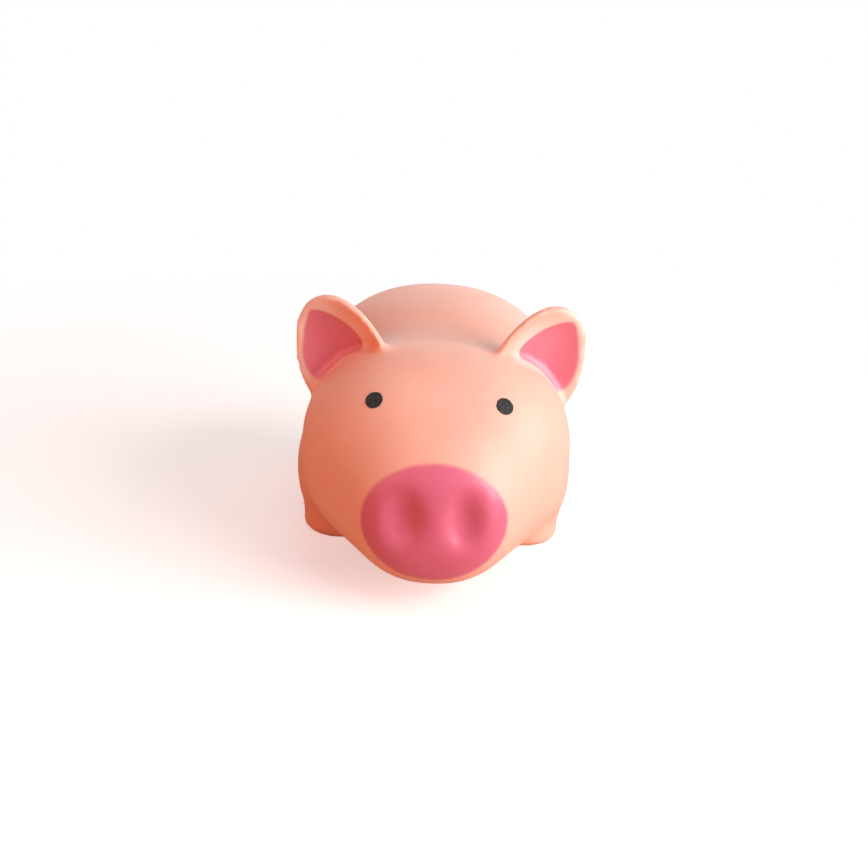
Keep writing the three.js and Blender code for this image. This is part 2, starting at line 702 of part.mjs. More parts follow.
// The reed: a strip clamped at its root. Above the socket it stands a little open from the core.
function reedTongue() {
  const rest = degrees(REED_REST_ANGLE);
  const half = REED_THICKNESS / 2;
  const root = (socketTop - coreLow) * REED_ROOT_SHARE;
  const tip = new THREE.Vector2(Math.sin(rest), Math.cos(rest)).multiplyScalar(reedTop - socketTop);
  const square = new THREE.Vector2(Math.cos(rest), -Math.sin(rest)).multiplyScalar(half);
  const outline = new THREE.Shape([
    new THREE.Vector2(-half, -root),
    new THREE.Vector2(half, -root),
    new THREE.Vector2(half, 0),
    tip.clone().add(square),
    tip.clone().sub(square),
    new THREE.Vector2(-half, 0),
  ]);
  const geometry = new THREE.ExtrudeGeometry(outline, { depth: reedWidth, bevelEnabled: false });
  geometry.translate(0, 0, -reedWidth / 2);
  geometry.rotateY(Math.PI / 2);
  geometry.rotateX(Math.PI / 2);
  geometry.translate(seat.x, seat.y, seat.z + socketTop);
  return solidOf(geometry);
}

// The finished toy
const finishes = {
  vinyl: { color: 0xf2a88c, roughness: 0.55 },
  pinkPaint: { color: 0xe0607f, roughness: 0.5 },
  blackPaint: { color: 0x1b1716, roughness: 0.35 },
  whitePlastic: { color: 0xece9e2, roughness: 0.4 },
  reedFilm: { color: 0xd9d4c2, roughness: 0.25 },
};

const toy = new THREE.Group();

function addPiece(name, solid, finish) {
  const mesh = new THREE.Mesh(geometryOf(solid), new THREE.MeshStandardMaterial(finish));
  mesh.name = name;
  toy.add(mesh);
}

addPiece('vinyl_skin', skinSolid(), finishes.vinyl);
addPiece('snout_paint', snoutPaint(), finishes.pinkPaint);
addPiece('ear_paint_left', earPaint(1), finishes.pinkPaint);
addPiece('ear_paint_right', earPaint(-1), finishes.pinkPaint);
addPiece('eye_paint_left', eyePaint(1), finishes.blackPaint);
addPiece('eye_paint_right', eyePaint(-1), finishes.blackPaint);
addPiece('squeaker_case', squeakerCase(), finishes.whitePlastic);
addPiece('squeaker_cap', squeakerCap(), finishes.whitePlastic);
addPiece('reed_core', reedCore(), finishes.whitePlastic);
addPiece('reed_wedge', reedWedge(), finishes.whitePlastic);
addPiece('reed_tongue', reedTongue(), finishes.reedFilm);

export default toy;
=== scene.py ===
# A squeaky pig of soft vinyl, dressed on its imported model.
# Metres. +Z is up, the toy stands on z = 0 and looks along -Y, and its left side is +X.

import json
import math

import bmesh
import bpy
import numpy as np
from mathutils import Matrix, Vector, noise
from mathutils.bvhtree import BVHTree


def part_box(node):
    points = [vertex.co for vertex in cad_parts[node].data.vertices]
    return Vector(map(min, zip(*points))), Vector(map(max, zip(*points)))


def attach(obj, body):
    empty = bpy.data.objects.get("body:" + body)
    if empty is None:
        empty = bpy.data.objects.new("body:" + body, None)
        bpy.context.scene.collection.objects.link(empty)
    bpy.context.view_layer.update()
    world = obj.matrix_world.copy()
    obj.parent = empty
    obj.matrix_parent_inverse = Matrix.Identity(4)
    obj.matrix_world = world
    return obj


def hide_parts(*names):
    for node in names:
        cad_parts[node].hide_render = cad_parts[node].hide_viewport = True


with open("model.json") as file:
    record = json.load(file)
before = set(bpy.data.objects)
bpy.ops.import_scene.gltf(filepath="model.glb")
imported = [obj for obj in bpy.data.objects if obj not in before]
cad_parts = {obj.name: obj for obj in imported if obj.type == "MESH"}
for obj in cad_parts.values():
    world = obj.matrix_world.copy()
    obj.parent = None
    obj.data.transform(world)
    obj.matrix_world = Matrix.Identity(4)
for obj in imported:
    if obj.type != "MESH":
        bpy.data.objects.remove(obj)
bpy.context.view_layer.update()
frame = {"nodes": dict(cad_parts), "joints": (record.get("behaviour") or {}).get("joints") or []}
MM = 0.001


# Skin: head, body, ears, legs and tail are one hollow casting of soft vinyl with a hole in its belly.
# The mould is polished, so the outside is one smooth surface with soft hollows where forms meet.
# The snout and the insides of the ears are sprayed pink through a stencil.
SKIN_VOXEL = 0.79 * MM
HOLLOW_VOXEL = 2 * MM
MERGE = 0.01 * MM
THIN = 7 * MM
THICK_SHARE = 1.5
CREASE_FROM = 0.1 * MM
CREASE_FULL = 0.5 * MM
HOLE_DIAMETER = 20 * MM
HOLE_SIDES = 96
HOLE_FACING = 0.9
SEAT_DIAMETER = 29 * MM
WALL_REACH = 12 * MM
SETTLE_STEPS = 9
HOLLOW_STEPS = 4
TRUNK_STEPS = 20
FILLET_STEPS = 54
PROBE_STEPS = 41
FLAT_TOLERANCE = 0.35 * MM
SEAT_LIFT = 1.9 * MM
SEAT_REACH = 2 * MM
SMOOTH_SHARE = 0.5
SMOOTH_ANGLE = math.radians(40)
EAR_FILMS = ("ear_paint_left", "ear_paint_right")
PAINT_FILMS = ("snout_paint", *EAR_FILMS)
FURTHEST_REACH = 9 * MM
SPREAD_STEPS = 20


def only_select(*pieces):
    bpy.ops.object.select_all(action="DESELECT")
    for piece in pieces:
        piece.select_set(True)
        bpy.context.view_layer.objects.active = piece


def piece_of(mesh, name):
    piece = bpy.data.objects.new(name, mesh)
    bpy.context.scene.collection.objects.link(piece)
    only_select(piece)
    return piece


def modify(piece, kind, **settings):
    only_select(piece)
    modifier = piece.modifiers.new(kind.lower(), kind)
    for setting, value in settings.items():
        setattr(modifier, setting, value)
    bpy.ops.object.modifier_apply(modifier=modifier.name)


# Leaves the piece in edit mode, with only the wanted corners, edges or faces selected
def select_parts(piece, kind, wanted):
    only_select(piece)
    bpy.ops.object.mode_set(mode="EDIT")
    bpy.ops.mesh.select_mode(type=kind)
    bpy.ops.mesh.select_all(action="DESELECT")
    form = bmesh.from_edit_mesh(piece.data)
    for part in {"VERT": form.verts, "EDGE": form.edges, "FACE": form.faces}[kind]:
        part.select_set(wanted(part))
    bmesh.update_edit_mesh(piece.data)


def cut_away(piece, cutter):
    modify(piece, "BOOLEAN", object=cutter, operation="DIFFERENCE", solver="MANIFOLD")
    bpy.data.objects.remove(cutter)


def shade(piece):
    only_select(piece)
    bpy.ops.object.shade_smooth_by_angle(angle=SMOOTH_ANGLE)


def vertex_values(mesh, field):
    values = np.empty(len(mesh.vertices) * 3)
    mesh.vertices.foreach_get(field, values)
    return values.reshape(-1, 3)


def smoothstep(low, high, values):
    shares = np.clip((values - low) / (high - low), 0, 1)
    return shares * shares * (3 - 2 * shares)


def relax(piece, steps, shares):
    group = piece.vertex_groups.new(name="relax")
    for index, share in enumerate(shares):
        if share > 0:
            group.add([index], share, "REPLACE")
    modify(piece, "SMOOTH", factor=SMOOTH_SHARE, iterations=steps, vertex_group=group.name)
    piece.vertex_groups.clear()


# How deep each point lies in a hollow of the surface: its way out to the relaxed surface
def hollow_depths(piece):
    probe = piece_of(piece.data.copy(), "probe")
    modify(probe, "SMOOTH", factor=SMOOTH_SHARE, iterations=PROBE_STEPS)
    way = vertex_values(probe.data, "co") - vertex_values(piece.data, "co")
    bpy.data.objects.remove(probe)
    return (way * vertex_values(piece.data, "normal")).sum(axis=1)


# How thick the form is under each point
def thicknesses(piece):
    tree = BVHTree.FromObject(piece, bpy.context.evaluated_depsgraph_get())
    hits = [
        tree.ray_cast(vertex.co - vertex.normal * MERGE, -vertex.normal)[3] for vertex in piece.data.vertices
    ]
    return np.array([1 if hit is None else hit for hit in hits])


# How far each point lies outside the nearest of the films, along the skin. A film that lies behind the
# point counts with its full distance, so that the back of an ear isn't taken for its inside.
def film_reaches(piece, films):
    trees = []
    for name in films:
        film = frame["nodes"][name].data
        corners = [vertex.co for vertex in film.vertices]
        trees.append(BVHTree.FromPolygons(corners, [face.vertices for face in film.polygons]))
    reaches = []
    for vertex in piece.data.vertices:
        place = min((tree.find_nearest(vertex.co) for tree in trees), key=lambda found: found[3])[0]
        way = vertex.co - place
        height = way.dot(vertex.normal)
        reaches.append(math.hypot((way - vertex.normal * height).length, max(height, 0)))
    return np.minimum(reaches, FURTHEST_REACH)


# The values at the points, mixed with their neighbours' over and over, which rounds the corners of a field
def spread(piece, values, steps):
    ends = np.empty(len(piece.data.edges) * 2, dtype=int)
    piece.data.edges.foreach_get("vertices", ends)
    firsts, seconds = ends.reshape(-1, 2).T
    links = np.bincount(ends, minlength=len(values))
    for _ in range(steps):
        sums = np.bincount(firsts, values[seconds], len(values))
        sums += np.bincount(seconds, values[firsts], len(values))
        values = (values + sums / links) / 2
    return values


def keep_field(piece, name, values):
    field = piece.data.attributes.new(name, "FLOAT", "POINT")
    field.data.foreach_set("value", values)


def lines_the_hole(face):
    middle = face.calc_center_median()
    inward = Vector((seat.x - middle.x, seat.y - middle.y, 0))
    near = inward.length < HOLE_DIAMETER / 2 and middle.z < WALL_REACH
    return near and face.normal.dot(inward.normalized()) > HOLE_FACING


case_low, case_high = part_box("squeaker_case")
seat = Vector(((case_low.x + case_high.x) / 2, (case_low.y + case_high.y) / 2, case_low.z + SEAT_LIFT))

# Without the wall of its hole, the cast form falls into an outer and an inner shell.
skin = piece_of(frame["nodes"]["vinyl_skin"].data.copy(), "skin")
skin.data.materials.clear()
bpy.ops.object.mode_set(mode="EDIT")
bpy.ops.mesh.select_all(action="SELECT")
bpy.ops.mesh.remove_doubles(threshold=MERGE)
bpy.ops.object.mode_set(mode="OBJECT")
select_parts(skin, "FACE", lines_the_hole)
bpy.ops.mesh.delete(type="FACE")
bpy.ops.mesh.select_all(action="SELECT")
bpy.ops.mesh.fill_holes(sides=0)
bpy.ops.mesh.separate(type="LOOSE")
bpy.ops.object.mode_set(mode="OBJECT")
hollow, skin = sorted(bpy.context.selected_objects, key=lambda shell: shell.dimensions.x)
modify(skin, "REMESH", mode="VOXEL", voxel_size=SKIN_VOXEL)
modify(hollow, "REMESH", mode="VOXEL", voxel_size=HOLLOW_VOXEL)

# The facets of the cast form are relaxed away: most where it is thick, and in every hollow.
modify(skin, "SMOOTH", factor=SMOOTH_SHARE, iterations=SETTLE_STEPS)
relax(skin, TRUNK_STEPS, smoothstep(THIN, THIN * THICK_SHARE, thicknesses(skin)))
relax(skin, FILLET_STEPS, smoothstep(CREASE_FROM, CREASE_FULL, hollow_depths(skin)))
modify(hollow, "SMOOTH", factor=SMOOTH_SHARE, iterations=HOLLOW_STEPS)

# The soles and the seat of the squeaker stay flat.
for vertex in skin.data.vertices:
    from_seat = (vertex.co - seat).xy.length
    if vertex.co.z < FLAT_TOLERANCE:
        vertex.co.z = 0
    elif from_seat < SEAT_DIAMETER / 2 and vertex.co.z < seat.z + SEAT_REACH:
        vertex.co.z = seat.z

# Inner and outer shell make one wall, and the hole is cut through it.
only_select(skin, hollow)
bpy.context.view_layer.objects.active = skin
bpy.ops.object.join()
bpy.ops.mesh.primitive_cylinder_add(
    vertices=HOLE_SIDES, radius=HOLE_DIAMETER / 2, depth=WALL_REACH * 2, location=(seat.x, seat.y, 0)
)
cut_away(skin, bpy.context.object)
shade(skin)

keep_field(skin, "hollow_depth", hollow_depths(skin) / MM)
keep_field(skin, "paint_reach", spread(skin, film_reaches(skin, PAINT_FILMS), SPREAD_STEPS) / MM)
keep_field(skin, "ear_reach", spread(skin, film_reaches(skin, EAR_FILMS), SPREAD_STEPS) / MM)


class Wire:
    """An output socket of a material's node. Sums on wires add Math nodes to its tree."""

    def __init__(self, socket):
        self.socket = socket

    def node(self, kind, settings, inputs, output=0):
        tree = self.socket.id_data
        made = tree.nodes.new(kind)
        for setting, value in settings.items():
            setattr(made, setting, value)
        for name, value in inputs.items():
            if isinstance(value, Wire):
                tree.links.new(value.socket, made.inputs[name])
            else:
                made.inputs[name].default_value = value
        return Wire(made.outputs[output])

    def math(self, operation, *terms):
        return self.node("ShaderNodeMath", {"operation": operation}, dict(enumerate(terms)))

    def __add__(self, other):
        return self.math("ADD", self, other)

    def __radd__(self, other):
        return self.math("ADD", other, self)

    def __sub__(self, other):
        return self.math("SUBTRACT", self, other)

    def __rsub__(self, other):
        return self.math("SUBTRACT", other, self)

    def __mul__(self, other):
        return self.math("MULTIPLY", self, other)

    def __rmul__(self, other):
        return self.math("MULTIPLY", other, self)

    def noise(self, scale, detail=3, roughness=0.5):
        inputs = {"Vector": self, "Scale": scale, "Detail": detail, "Roughness": roughness}
        return self.node("ShaderNodeTexNoise", {}, inputs)

    def field(self, name):
        return self.node("ShaderNodeAttribute", {"attribute_name": name}, {}, output="Fac")

    def rise(self, low, high):
        inputs = {"Value": self, "From Min": low, "From Max": high}
        return self.node("ShaderNodeMapRange", {"interpolation_type": "SMOOTHSTEP"}, inputs)

    def blend(self, first, second):
        return self.node("ShaderNodeMix", {"data_type": "RGBA"}, {0: self, 6: first, 7: second}, output=2)

    def bump(self, distance, strength=1.0):
        return self.node("ShaderNodeBump", {}, {"Height": self, "Distance": distance, "Strength": strength})


def colour(red, green, blue):
    def linear(value):
        share = value / 255
        return share / 12.92 if share <= 0.04045 else ((share + 0.055) / 1.055) ** 2.4

    return (linear(red), linear(green), linear(blue), 1)


# A new material, its place on the object, and its shader with the values that are the same all over
def new_finish(name, **constants):
    material = bpy.data.materials.new(name)
    material.use_nodes = True
    shader = material.node_tree.nodes["Principled BSDF"]
    for socket, value in constants.items():
        shader.inputs[socket.replace("_", " ")].default_value = value
    place = Wire(material.node_tree.nodes.new("ShaderNodeTexCoord").outputs["Object"])
    return material, place, shader


def feed(shader, **wires):
    for socket, wire in wires.items():
        shader.id_data.links.new(wire.socket, shader.inputs[socket.replace("_", " ")])


VINYL_PALE = colour(251, 187, 169)
# Painted shade: a deeper orange laid into the hollows of the skin, also used for a little random mottle
VINYL_PAINTED_SHADE_AND_MOTTLE = colour(230, 98, 56)
# Painted light: a paler tone round the ears, standing for light shining through the thin vinyl
VINYL_PAINTED_GLOW = colour(255, 222, 211)
SNOUT_PINK = colour(219, 109, 141)
EAR_PINK = colour(234, 142, 163)
# Painted shade: a deeper pink for the hollows of the paint, also used for a little random mottle
PINK_PAINTED_SHADE_AND_MOTTLE = colour(214, 72, 101)

CLOUD_SCALE = 55
GRAIN_SCALE = 1400
SPECKLE_SCALE = 2600
HOLLOW_FADE = (0.02, 0.55)
EAR_FADE = (1.5, 7)
EAR_PAINT_FADE = (0, 3)
SPRAY_EDGE = (0.25, 1.15)

vinyl, place, shader = new_finish(
    "soft_vinyl",
    Subsurface_Weight=0.3,
    Subsurface_Radius=(1.0, 0.3, 0.15),
    Subsurface_Scale=5 * MM,
    Specular_IOR_Level=0.45,
    Sheen_Weight=0.12,
    Sheen_Roughness=0.5,
    Sheen_Tint=colour(255, 200, 180),
    Coat_Roughness=0.25,
)
hollow_depth = place.field("hollow_depth")
paint_reach = place.field("paint_reach")
ear_reach = place.field("ear_reach")
cloud = place.noise(CLOUD_SCALE)
grain = place.noise(GRAIN_SCALE, detail=2)
speckle = place.noise(SPECKLE_SCALE, detail=1)
# Painted light round the ears, where light would shine through the thin vinyl
painted_ear_glow = 1 - ear_reach.rise(*EAR_FADE)
# Painted shade: the vinyl deepens to orange in its hollows, less so round the ears, with a little random
# mottle added
painted_shade_and_mottle = hollow_depth.rise(*HOLLOW_FADE) * (0.95 - painted_ear_glow * 0.6) + cloud.rise(0.35, 0.75) * 0.12
near_ear = 1 - ear_reach.rise(*EAR_PAINT_FADE)
spray = 1 - (paint_reach - near_ear * 0.6 + speckle * 0.4 + cloud * 0.5 - 0.45).rise(*SPRAY_EDGE)
pale_pink = near_ear.blend(SNOUT_PINK, EAR_PINK)
# Painted shade: the pink deepens in its hollows, with a little random mottle
pink = (hollow_depth.rise(-0.2, 0.8) * 0.6 + cloud * 0.35).blend(pale_pink, PINK_PAINTED_SHADE_AND_MOTTLE)
# The vinyl's colour with its painted shade in the hollows and painted glow round the ears
vinyl_with_painted_light = painted_shade_and_mottle.blend((painted_ear_glow * 0.75).blend(VINYL_PALE, VINYL_PAINTED_GLOW), VINYL_PAINTED_SHADE_AND_MOTTLE)
feed(
    shader,
    Base_Color=spray.blend(vinyl_with_painted_light, pink),
    Roughness=0.42 + cloud * 0.08 + grain * 0.06 - spray * 0.05,
    Coat_Weight=spray * 0.5,
    Normal=(grain + cloud * 2).bump(0.02 * MM, 0.5),
)


def dress(piece, body, slot, finish, *nodes):
    piece.data.materials.clear()
    piece.data.materials.append(finish)
    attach(piece, body)
    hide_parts(*nodes)


dress(skin, "toy", "vinyl", vinyl, "vinyl_skin", *PAINT_FILMS)


# Eyes: each is one dot of black paint, printed on the finished skin with a soft pad.
# The print is thin and dry, so its edge is a little ragged, and grey specks painted in it stand for glints
# of light on its rough surface.
EYE_DIAMETER = 4.8 * MM
EYE_SIDES = 72
EYE_RINGS = 4
EYE_FILM = 0.12 * MM
EYE_STAND_OFF = 0.05 * MM
EYE_RAGGED_SHARE = 0.05
EYE_RAGGED_GRAIN = 0.5 * MM

skin_tree = BVHTree.FromObject(skin, bpy.context.evaluated_depsgraph_get())


def settle(piece):
    only_select(piece)
    bpy.ops.object.transform_apply(location=True, rotation=True, scale=True)


def printed_dot(name, node):
    low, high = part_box(node)
    middle, normal = skin_tree.find_nearest((low + high) / 2)[:2]
    bpy.ops.object.select_all(action="DESELECT")
    bpy.ops.mesh.primitive_circle_add(
        vertices=EYE_SIDES,
        radius=EYE_DIAMETER / 2,
        fill_type="NGON",
        location=middle,
        rotation=normal.to_track_quat("Z", "Y").to_euler(),
    )
    dot = bpy.context.object
    dot.name = name
    settle(dot)
    bpy.ops.object.mode_set(mode="EDIT")
    for _ in range(EYE_RINGS):
        bpy.ops.mesh.inset(thickness=EYE_DIAMETER / 2 / (EYE_RINGS + 1))
    bpy.ops.mesh.poke()
    bpy.ops.object.mode_set(mode="OBJECT")
    for vertex in dot.data.vertices:
        way = vertex.co - middle
        vertex.co = middle + way * (1 + EYE_RAGGED_SHARE * noise.noise(vertex.co / EYE_RAGGED_GRAIN))
    modify(dot, "SHRINKWRAP", target=skin, wrap_mode="ABOVE_SURFACE", offset=EYE_STAND_OFF)
    modify(dot, "SOLIDIFY", thickness=EYE_FILM, offset=1)
    shade(dot)
    return dot


EYE_BLACK = colour(14, 10, 10)
# Painted glints: grey specks standing for light caught on the rough print
EYE_PAINTED_GLINT = colour(96, 86, 84)
EYE_GRAIN_SCALE = 1700

black_paint, place, shader = new_finish("printed_black", Specular_IOR_Level=0.3)
grain_and_painted_glints = place.noise(EYE_GRAIN_SCALE, detail=2, roughness=0.6)
feed(
    shader,
    Base_Color=(grain_and_painted_glints.rise(0.54, 0.68) * 0.6).blend(EYE_BLACK, EYE_PAINTED_GLINT),
    Roughness=0.4 + grain_and_painted_glints * 0.3,
    Normal=grain_and_painted_glints.bump(0.05 * MM, 0.5),
)
for side in ("left", "right"):
    node = f"eye_paint_{side}"
    dress(printed_dot(f"eye_{side}", node), "toy", "black_paint", black_paint, node)


# Squeaker case: a cup of white polythene, moulded in one piece, with a flange outside the skin and a lip
# that snaps in behind the wall of its hole. The socket in its floor holds the reed's core over the outlet.
SPIN_STEPS = 96
EDGE_RADIUS = 0.16 * MM
EDGE_STEPS = 2
EDGE_ANGLE = math.radians(30)
RUNNING_GAP = 0.3 * MM
FLANGE_THICKNESS = 1.6 * MM
NECK_RADIUS = 9.7 * MM
LIP_RADIUS = 11.4 * MM
LIP_LOW = 2.9 * MM
LIP_THICKNESS = 1 * MM
LIP_TAPER = 2.2 * MM
CASE_RADIUS = 8.8 * MM
CASE_WALL = 1.4 * MM
CASE_FLOOR = 2 * MM
CASE_BEAD = 0.5 * MM
BEAD_DROP = 2.5 * MM
SOCKET_WALL = 1.3 * MM
OUTLET_RADIUS = 2 * MM


# A ring or a dish turned round the squeaker's axis, from a profile of radii and heights above the seat
def turned(name, profile):
    bpy.ops.object.select_all(action="DESELECT")
    bpy.ops.mesh.primitive_plane_add(size=MM)
    piece = bpy.context.object
    piece.name = name
    bpy.ops.object.mode_set(mode="EDIT")
    bpy.ops.mesh.select_mode(type="VERT")
    bpy.ops.mesh.merge(type="CENTER")
    points = [seat + Vector((radius, 0, height)) for radius, height in profile]
    bpy.ops.transform.translate(value=points[0])
    for before, after in zip(points, points[1:]):
        bpy.ops.mesh.extrude_vertices_move(TRANSFORM_OT_translate={"value": after - before})
    bpy.ops.mesh.select_all(action="SELECT")
    bpy.ops.mesh.remove_doubles(threshold=MERGE)
    bpy.ops.mesh.spin(steps=SPIN_STEPS, angle=math.tau, center=seat, axis=(0, 0, 1))
    bpy.ops.mesh.select_all(action="SELECT")
    bpy.ops.mesh.remove_doubles(threshold=MERGE)
    bpy.ops.mesh.normals_make_consistent(inside=False)
    bpy.ops.object.mode_set(mode="OBJECT")
    return piece


def round_edges(piece, radius):
    modify(piece, "BEVEL", width=radius, segments=EDGE_STEPS, limit_method="ANGLE", angle_limit=EDGE_ANGLE)
    shade(piece)


core_low, core_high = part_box("reed_core")
wedge_low, wedge_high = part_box("reed_wedge")
core_radius = (core_high.x - core_low.x) / 2
flange_radius = (case_high.x - case_low.x) / 2
flange_low = case_low.z - seat.z
floor_top = flange_low + CASE_FLOOR
case_top = case_high.z - seat.z
socket_top = wedge_high.z - seat.z
socket_radius = core_radius + RUNNING_GAP
bead = case_top - BEAD_DROP
case = turned("case", [
    (OUTLET_RADIUS, flange_low),
    (flange_radius - FLANGE_THICKNESS / 2, flange_low),
    (flange_radius - FLANGE_THICKNESS / 8, flange_low + FLANGE_THICKNESS / 6),
    (flange_radius, flange_low + FLANGE_THICKNESS / 2),
    (flange_radius, flange_low + FLANGE_THICKNESS),
    (NECK_RADIUS, flange_low + FLANGE_THICKNESS),
    (NECK_RADIUS, LIP_LOW),
    (LIP_RADIUS, LIP_LOW),
    (LIP_RADIUS, LIP_LOW + LIP_THICKNESS),
    (CASE_RADIUS, LIP_LOW + LIP_THICKNESS + LIP_TAPER),
    (CASE_RADIUS, bead - CASE_BEAD),
    (CASE_RADIUS + CASE_BEAD, bead),
    (CASE_RADIUS, bead + CASE_BEAD),
    (CASE_RADIUS, case_top),
    (CASE_RADIUS - CASE_WALL, case_top),
    (CASE_RADIUS - CASE_WALL, floor_top),
    (socket_radius + SOCKET_WALL, floor_top),
    (socket_radius + SOCKET_WALL, socket_top),
    (socket_radius, socket_top),
    (socket_radius, floor_top),
    (OUTLET_RADIUS, floor_top),
    (OUTLET_RADIUS, flange_low),
])
round_edges(case, EDGE_RADIUS)

POLYTHENE = colour(238, 235, 228)
POLYTHENE_SHADE = colour(226, 220, 208)
FLOW_SCALE = 240
POLYTHENE_GRAIN_SCALE = 2200

polythene, place, shader = new_finish(
    "white_polythene",
    Subsurface_Weight=0.2,
    Subsurface_Radius=(1.0, 0.9, 0.8),
    Subsurface_Scale=1 * MM,
    Specular_IOR_Level=0.45,
)
flow = place.noise(FLOW_SCALE, detail=3)
grain = place.noise(POLYTHENE_GRAIN_SCALE, detail=2)
feed(
    shader,
    Base_Color=flow.rise(0.3, 0.8).blend(POLYTHENE, POLYTHENE_SHADE),
    Roughness=0.36 + flow * 0.12 + grain * 0.06,
    Normal=(grain + flow * 3).bump(0.02 * MM, 0.6),
)
dress(case, "toy", "white_plastic", polythene, "squeaker_case")


# Squeaker cap: a domed lid of the same polythene, snapped over the bead of the case.
# Six slots in it let the air of the hollow body through to the reed.
CAP_WALL = 1.2 * MM
CAP_GROOVE = 0.65 * MM
CAP_SHOULDER_SHARE = 0.75
CAP_RISE_SHARE = 0.7
SLOT_COUNT = 6
SLOT_WIDTH = 1.6 * MM
SLOT_START = 2.6 * MM
SLOT_END = 6.3 * MM
SLOT_HEIGHT = 8 * MM
SLOT_ROUND_SHARE = 0.48
SLOT_ROUND_STEPS = 6

cap_low, cap_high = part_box("squeaker_cap")
cap_radius = (cap_high.x - cap_low.x) / 2
cap_bore = cap_radius - CAP_WALL
ceiling = case_top + RUNNING_GAP
dome_top = cap_high.z - seat.z
shoulder = ceiling + (dome_top - ceiling) * CAP_RISE_SHARE
cap = turned("cap", [
    (cap_bore, cap_low.z - seat.z),
    (cap_radius, cap_low.z - seat.z),
    (cap_radius, ceiling),
    (cap_radius * CAP_SHOULDER_SHARE, shoulder),
    (0, dome_top),
    (0, dome_top - CAP_WALL),
    (cap_bore * CAP_SHOULDER_SHARE, shoulder - CAP_WALL),
    (CASE_RADIUS - CASE_WALL, ceiling),
    (cap_bore, ceiling),
    (cap_bore, bead + CAP_GROOVE),
    (cap_bore + CASE_BEAD, bead),
    (cap_bore, bead - CAP_GROOVE),
    (cap_bore, cap_low.z - seat.z),
])

bpy.ops.object.select_all(action="DESELECT")
bpy.ops.mesh.primitive_cube_add(size=1)
slots = bpy.context.object
slots.dimensions = (SLOT_END - SLOT_START, SLOT_WIDTH, SLOT_HEIGHT)
slots.location = seat + Vector(((SLOT_START + SLOT_END) / 2, 0, ceiling))
settle(slots)
select_parts(slots, "EDGE", lambda edge: edge.calc_length() > SLOT_HEIGHT / 2)
bpy.ops.mesh.bevel(offset=SLOT_WIDTH * SLOT_ROUND_SHARE, segments=SLOT_ROUND_STEPS, affect="EDGES")
bpy.ops.mesh.select_all(action="SELECT")
for _ in range(SLOT_COUNT - 1):
    bpy.ops.mesh.duplicate()
    bpy.ops.transform.rotate(value=math.tau / SLOT_COUNT, orient_axis="Z", center_override=seat)
bpy.ops.object.mode_set(mode="OBJECT")
cut_away(cap, slots)
round_edges(cap, EDGE_RADIUS)
dress(cap, "toy", "white_plastic", polythene, "squeaker_cap")


# Reed core and wedge: two halves of a round bar that clamp the reed between them in the socket.
# The core has an air channel in its flat face, and the wedge has a chamfer that leads it in.
CHANNEL_RADIUS = 1.6 * MM
CHANNEL_END_WALL = 1.8 * MM
WEDGE_CHAMFER = 0.8 * MM


def half_bar(name, low, high, side):
    bpy.ops.object.select_all(action="DESELECT")
    bpy.ops.mesh.primitive_cylinder_add(
        vertices=SPIN_STEPS,
        radius=core_radius,
        depth=high.z - low.z,
        location=(seat.x, seat.y, (low.z + high.z) / 2),
    )
    piece = bpy.context.object
    piece.name = name
    settle(piece)
    bpy.ops.object.mode_set(mode="EDIT")
    bpy.ops.mesh.select_all(action="SELECT")
    face = low if side > 0 else high
    bpy.ops.mesh.bisect(
        plane_co=(seat.x, face.y, seat.z), plane_no=(0, -side, 0), use_fill=True, clear_outer=True
    )
    bpy.ops.object.mode_set(mode="OBJECT")
    return piece


core = half_bar("core", core_low, core_high, -1)
channel_top = core_high.z - CHANNEL_END_WALL
channel_low = core_low.z - CHANNEL_END_WALL
bpy.ops.object.select_all(action="DESELECT")
bpy.ops.mesh.primitive_cylinder_add(
    vertices=SPIN_STEPS // 2,
    radius=CHANNEL_RADIUS,
    depth=channel_top - channel_low,
    location=(seat.x, core_high.y, (channel_low + channel_top) / 2),
)
cut_away(core, bpy.context.object)
round_edges(core, EDGE_RADIUS)
dress(core, "toy", "white_plastic", polythene, "reed_core")


def leads_in(edge):
    return all(end.co.y < wedge_low.y + MERGE and end.co.z < wedge_low.z + MERGE for end in edge.verts)


wedge = half_bar("wedge", wedge_low, wedge_high, 1)
select_parts(wedge, "EDGE", leads_in)
bpy.ops.mesh.bevel(offset=WEDGE_CHAMFER, segments=1, affect="EDGES")
bpy.ops.object.mode_set(mode="OBJECT")
round_edges(wedge, EDGE_RADIUS)
dress(wedge, "toy", "white_plastic", polythene, "reed_wedge")


# Reed: a strip cut from clear polyester sheet. Its root is clamped flat, and from there it curves a
# little away from the core, so that air can pass and make it beat.
REED_STEPS = 24
REED_THICKNESS = 0.3 * MM
REED_CORNER = 0.8 * MM
REED_CORNER_STEPS = 4
REED_STEPS_ACROSS = 4

reed_low, reed_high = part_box("reed_tongue")
reed_lean = reed_low.y + reed_high.y - 2 * seat.y
reed_length = reed_high.z - reed_low.z
clamp_top = next(joint for joint in frame["joints"] if joint["name"] == "reed_flex")["pos_m"][2]
bpy.ops.object.select_all(action="DESELECT")
bpy.ops.mesh.primitive_grid_add(x_subdivisions=REED_STEPS_ACROSS, y_subdivisions=REED_STEPS, size=1)
reed = bpy.context.object
reed.name = "reed_strip"
reed.scale = (reed_high.x - reed_low.x, reed_length, 1)
reed.rotation_euler = (math.pi / 2, 0, 0)
reed.location = (seat.x, seat.y, (reed_low.z + reed_high.z) / 2)
settle(reed)
select_parts(reed, "VERT", lambda corner: len(corner.link_faces) == 1 and corner.co.z > clamp_top)
bpy.ops.mesh.bevel(offset=REED_CORNER, segments=REED_CORNER_STEPS, affect="VERTICES")
bpy.ops.object.mode_set(mode="OBJECT")
for vertex in reed.data.vertices:
    free_share = max(vertex.co.z - clamp_top, 0) / (reed_high.z - clamp_top)
    vertex.co.y += reed_lean * free_share * free_share
